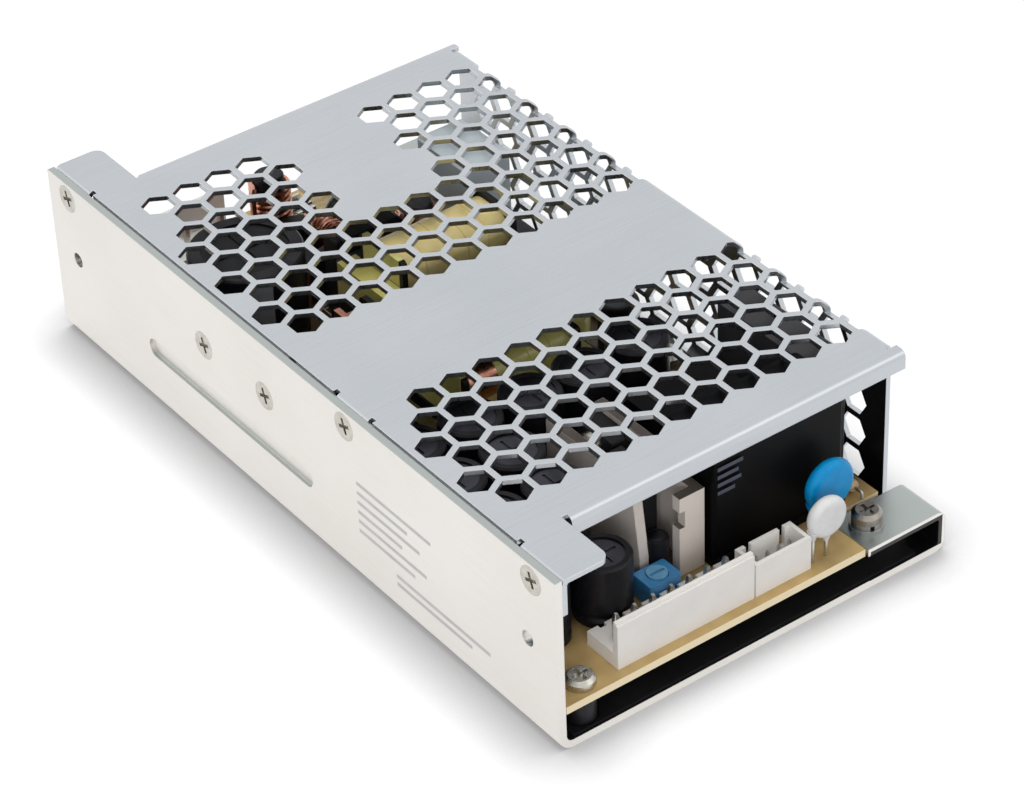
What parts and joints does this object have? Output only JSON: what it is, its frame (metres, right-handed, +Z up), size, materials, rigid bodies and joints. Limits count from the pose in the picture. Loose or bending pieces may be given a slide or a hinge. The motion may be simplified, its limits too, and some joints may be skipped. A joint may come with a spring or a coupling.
{
  "type": "battery backup power supply",
  "caption": "Low rectangular power supply in a folded metal chassis with a hexagon-perforated cover, open ends and pin headers on a populated board, for charging and backing up a battery.",
  "frame": {"origin": "centre of the underside of the base", "axes": "+X from the full-height wall to the perforated wall, +Y from the output end to the input end, +Z up from the base"},
  "size_m": [0.086, 0.158, 0.0366],
  "materials": {
    "chassis_sheet": "brushed aluminium sheet, clear passivated",
    "cover_sheet": "rolled aluminium sheet, matt",
    "screw_steel": "zinc-plated steel",
    "nut_steel": "zinc-plated steel",
    "standoff_steel": "plated steel",
    "heat_pad": "soft grey silicone",
    "package_black": "moulded epoxy",
    "tinned_wire": "tinned copper",
    "tinned_pin": "tinned brass",
    "clip_tin": "tinned spring bronze",
    "insulating_film": "black polyester film",
    "board_laminate": "tan paper and glass laminate",
    "connector_nylon": "off-white nylon",
    "disc_pale": "pale epoxy coat",
    "disc_blue": "blue epoxy coat",
    "disc_green": "dark green epoxy coat",
    "trimmer_blue": "moulded blue polyester",
    "trimmer_light": "moulded light blue nylon",
    "can_aluminium": "drawn aluminium",
    "sleeve_black": "shrunk sleeve",
    "heatsink_aluminium": "mill-finish aluminium",
    "relay_black": "moulded polyester",
    "ferrite": "ground ferrite",
    "bobbin_black": "moulded phenolic",
    "tape_yellow": "yellow polyester tape",
    "tape_olive": "olive polyester tape",
    "copper_enamel": "enamelled copper wire",
    "film_cap_grey": "moulded pale grey box",
    "box_cap_grey": "moulded dark grey box",
    "fuse_glass": "clear glass",
    "fuse_cap_nickel": "nickel-plated brass"
  },
  "bodies": {
    "supply": {"chassis": "chassis_sheet", "cover": "cover_sheet", "cover_screws": "screw_steel", "device_screws": "screw_steel", "device_nuts": "nut_steel", "device_pads": "heat_pad", "power_transistors": "package_black", "transistor_leads": "tinned_wire", "insulating_film": "insulating_film", "standoffs": "standoff_steel", "circuit_board": "board_laminate", "board_screws": "screw_steel", "earth_screw": "screw_steel", "earth_washer": "nut_steel", "lock_washer": "nut_steel", "output_header": "connector_nylon", "output_pins": "tinned_pin", "signal_header": "connector_nylon", "signal_pins": "tinned_pin", "surge_disc": "disc_pale", "blue_disc": "disc_blue", "disc_leads": "tinned_wire", "trimmer_body": "trimmer_blue", "cap_cans": "can_aluminium", "cap_sleeves": "sleeve_black", "slanted_heatsink": "heatsink_aluminium", "front_heatsink": "heatsink_aluminium", "rectifiers": "package_black", "rectifier_screws": "screw_steel", "relays": "relay_black", "box_capacitor": "box_cap_grey", "transformer_core": "ferrite", "transformer_bobbin": "bobbin_black", "transformer_winding": "tape_yellow", "choke_core": "ferrite", "choke_bobbin": "bobbin_black", "choke_winding": "tape_olive", "standby_core": "ferrite", "standby_bobbin": "bobbin_black", "standby_winding": "tape_olive", "bulk_can": "can_aluminium", "bulk_sleeve": "sleeve_black", "line_choke_core": "ferrite", "line_choke_windings": "copper_enamel", "film_capacitor": "film_cap_grey", "bridge_rectifier": "package_black", "fuse_tube": "fuse_glass", "fuse_ends": "fuse_cap_nickel", "fuse_clips": "clip_tin", "thermistor": "disc_green", "controllers": "package_black", "input_header": "connector_nylon", "input_pins": "tinned_pin"},
    "trimmer": {"trimmer_rotor": "trimmer_light"}
  },
  "joints": [
    {"name": "trimmer_turn", "type": "hinge", "parent": "supply", "child": "trimmer", "pos_m": [-0.0111, -0.0652, 0.0123], "axis": [0, 0, 1], "range_deg": [-130, 130]}
  ]
}
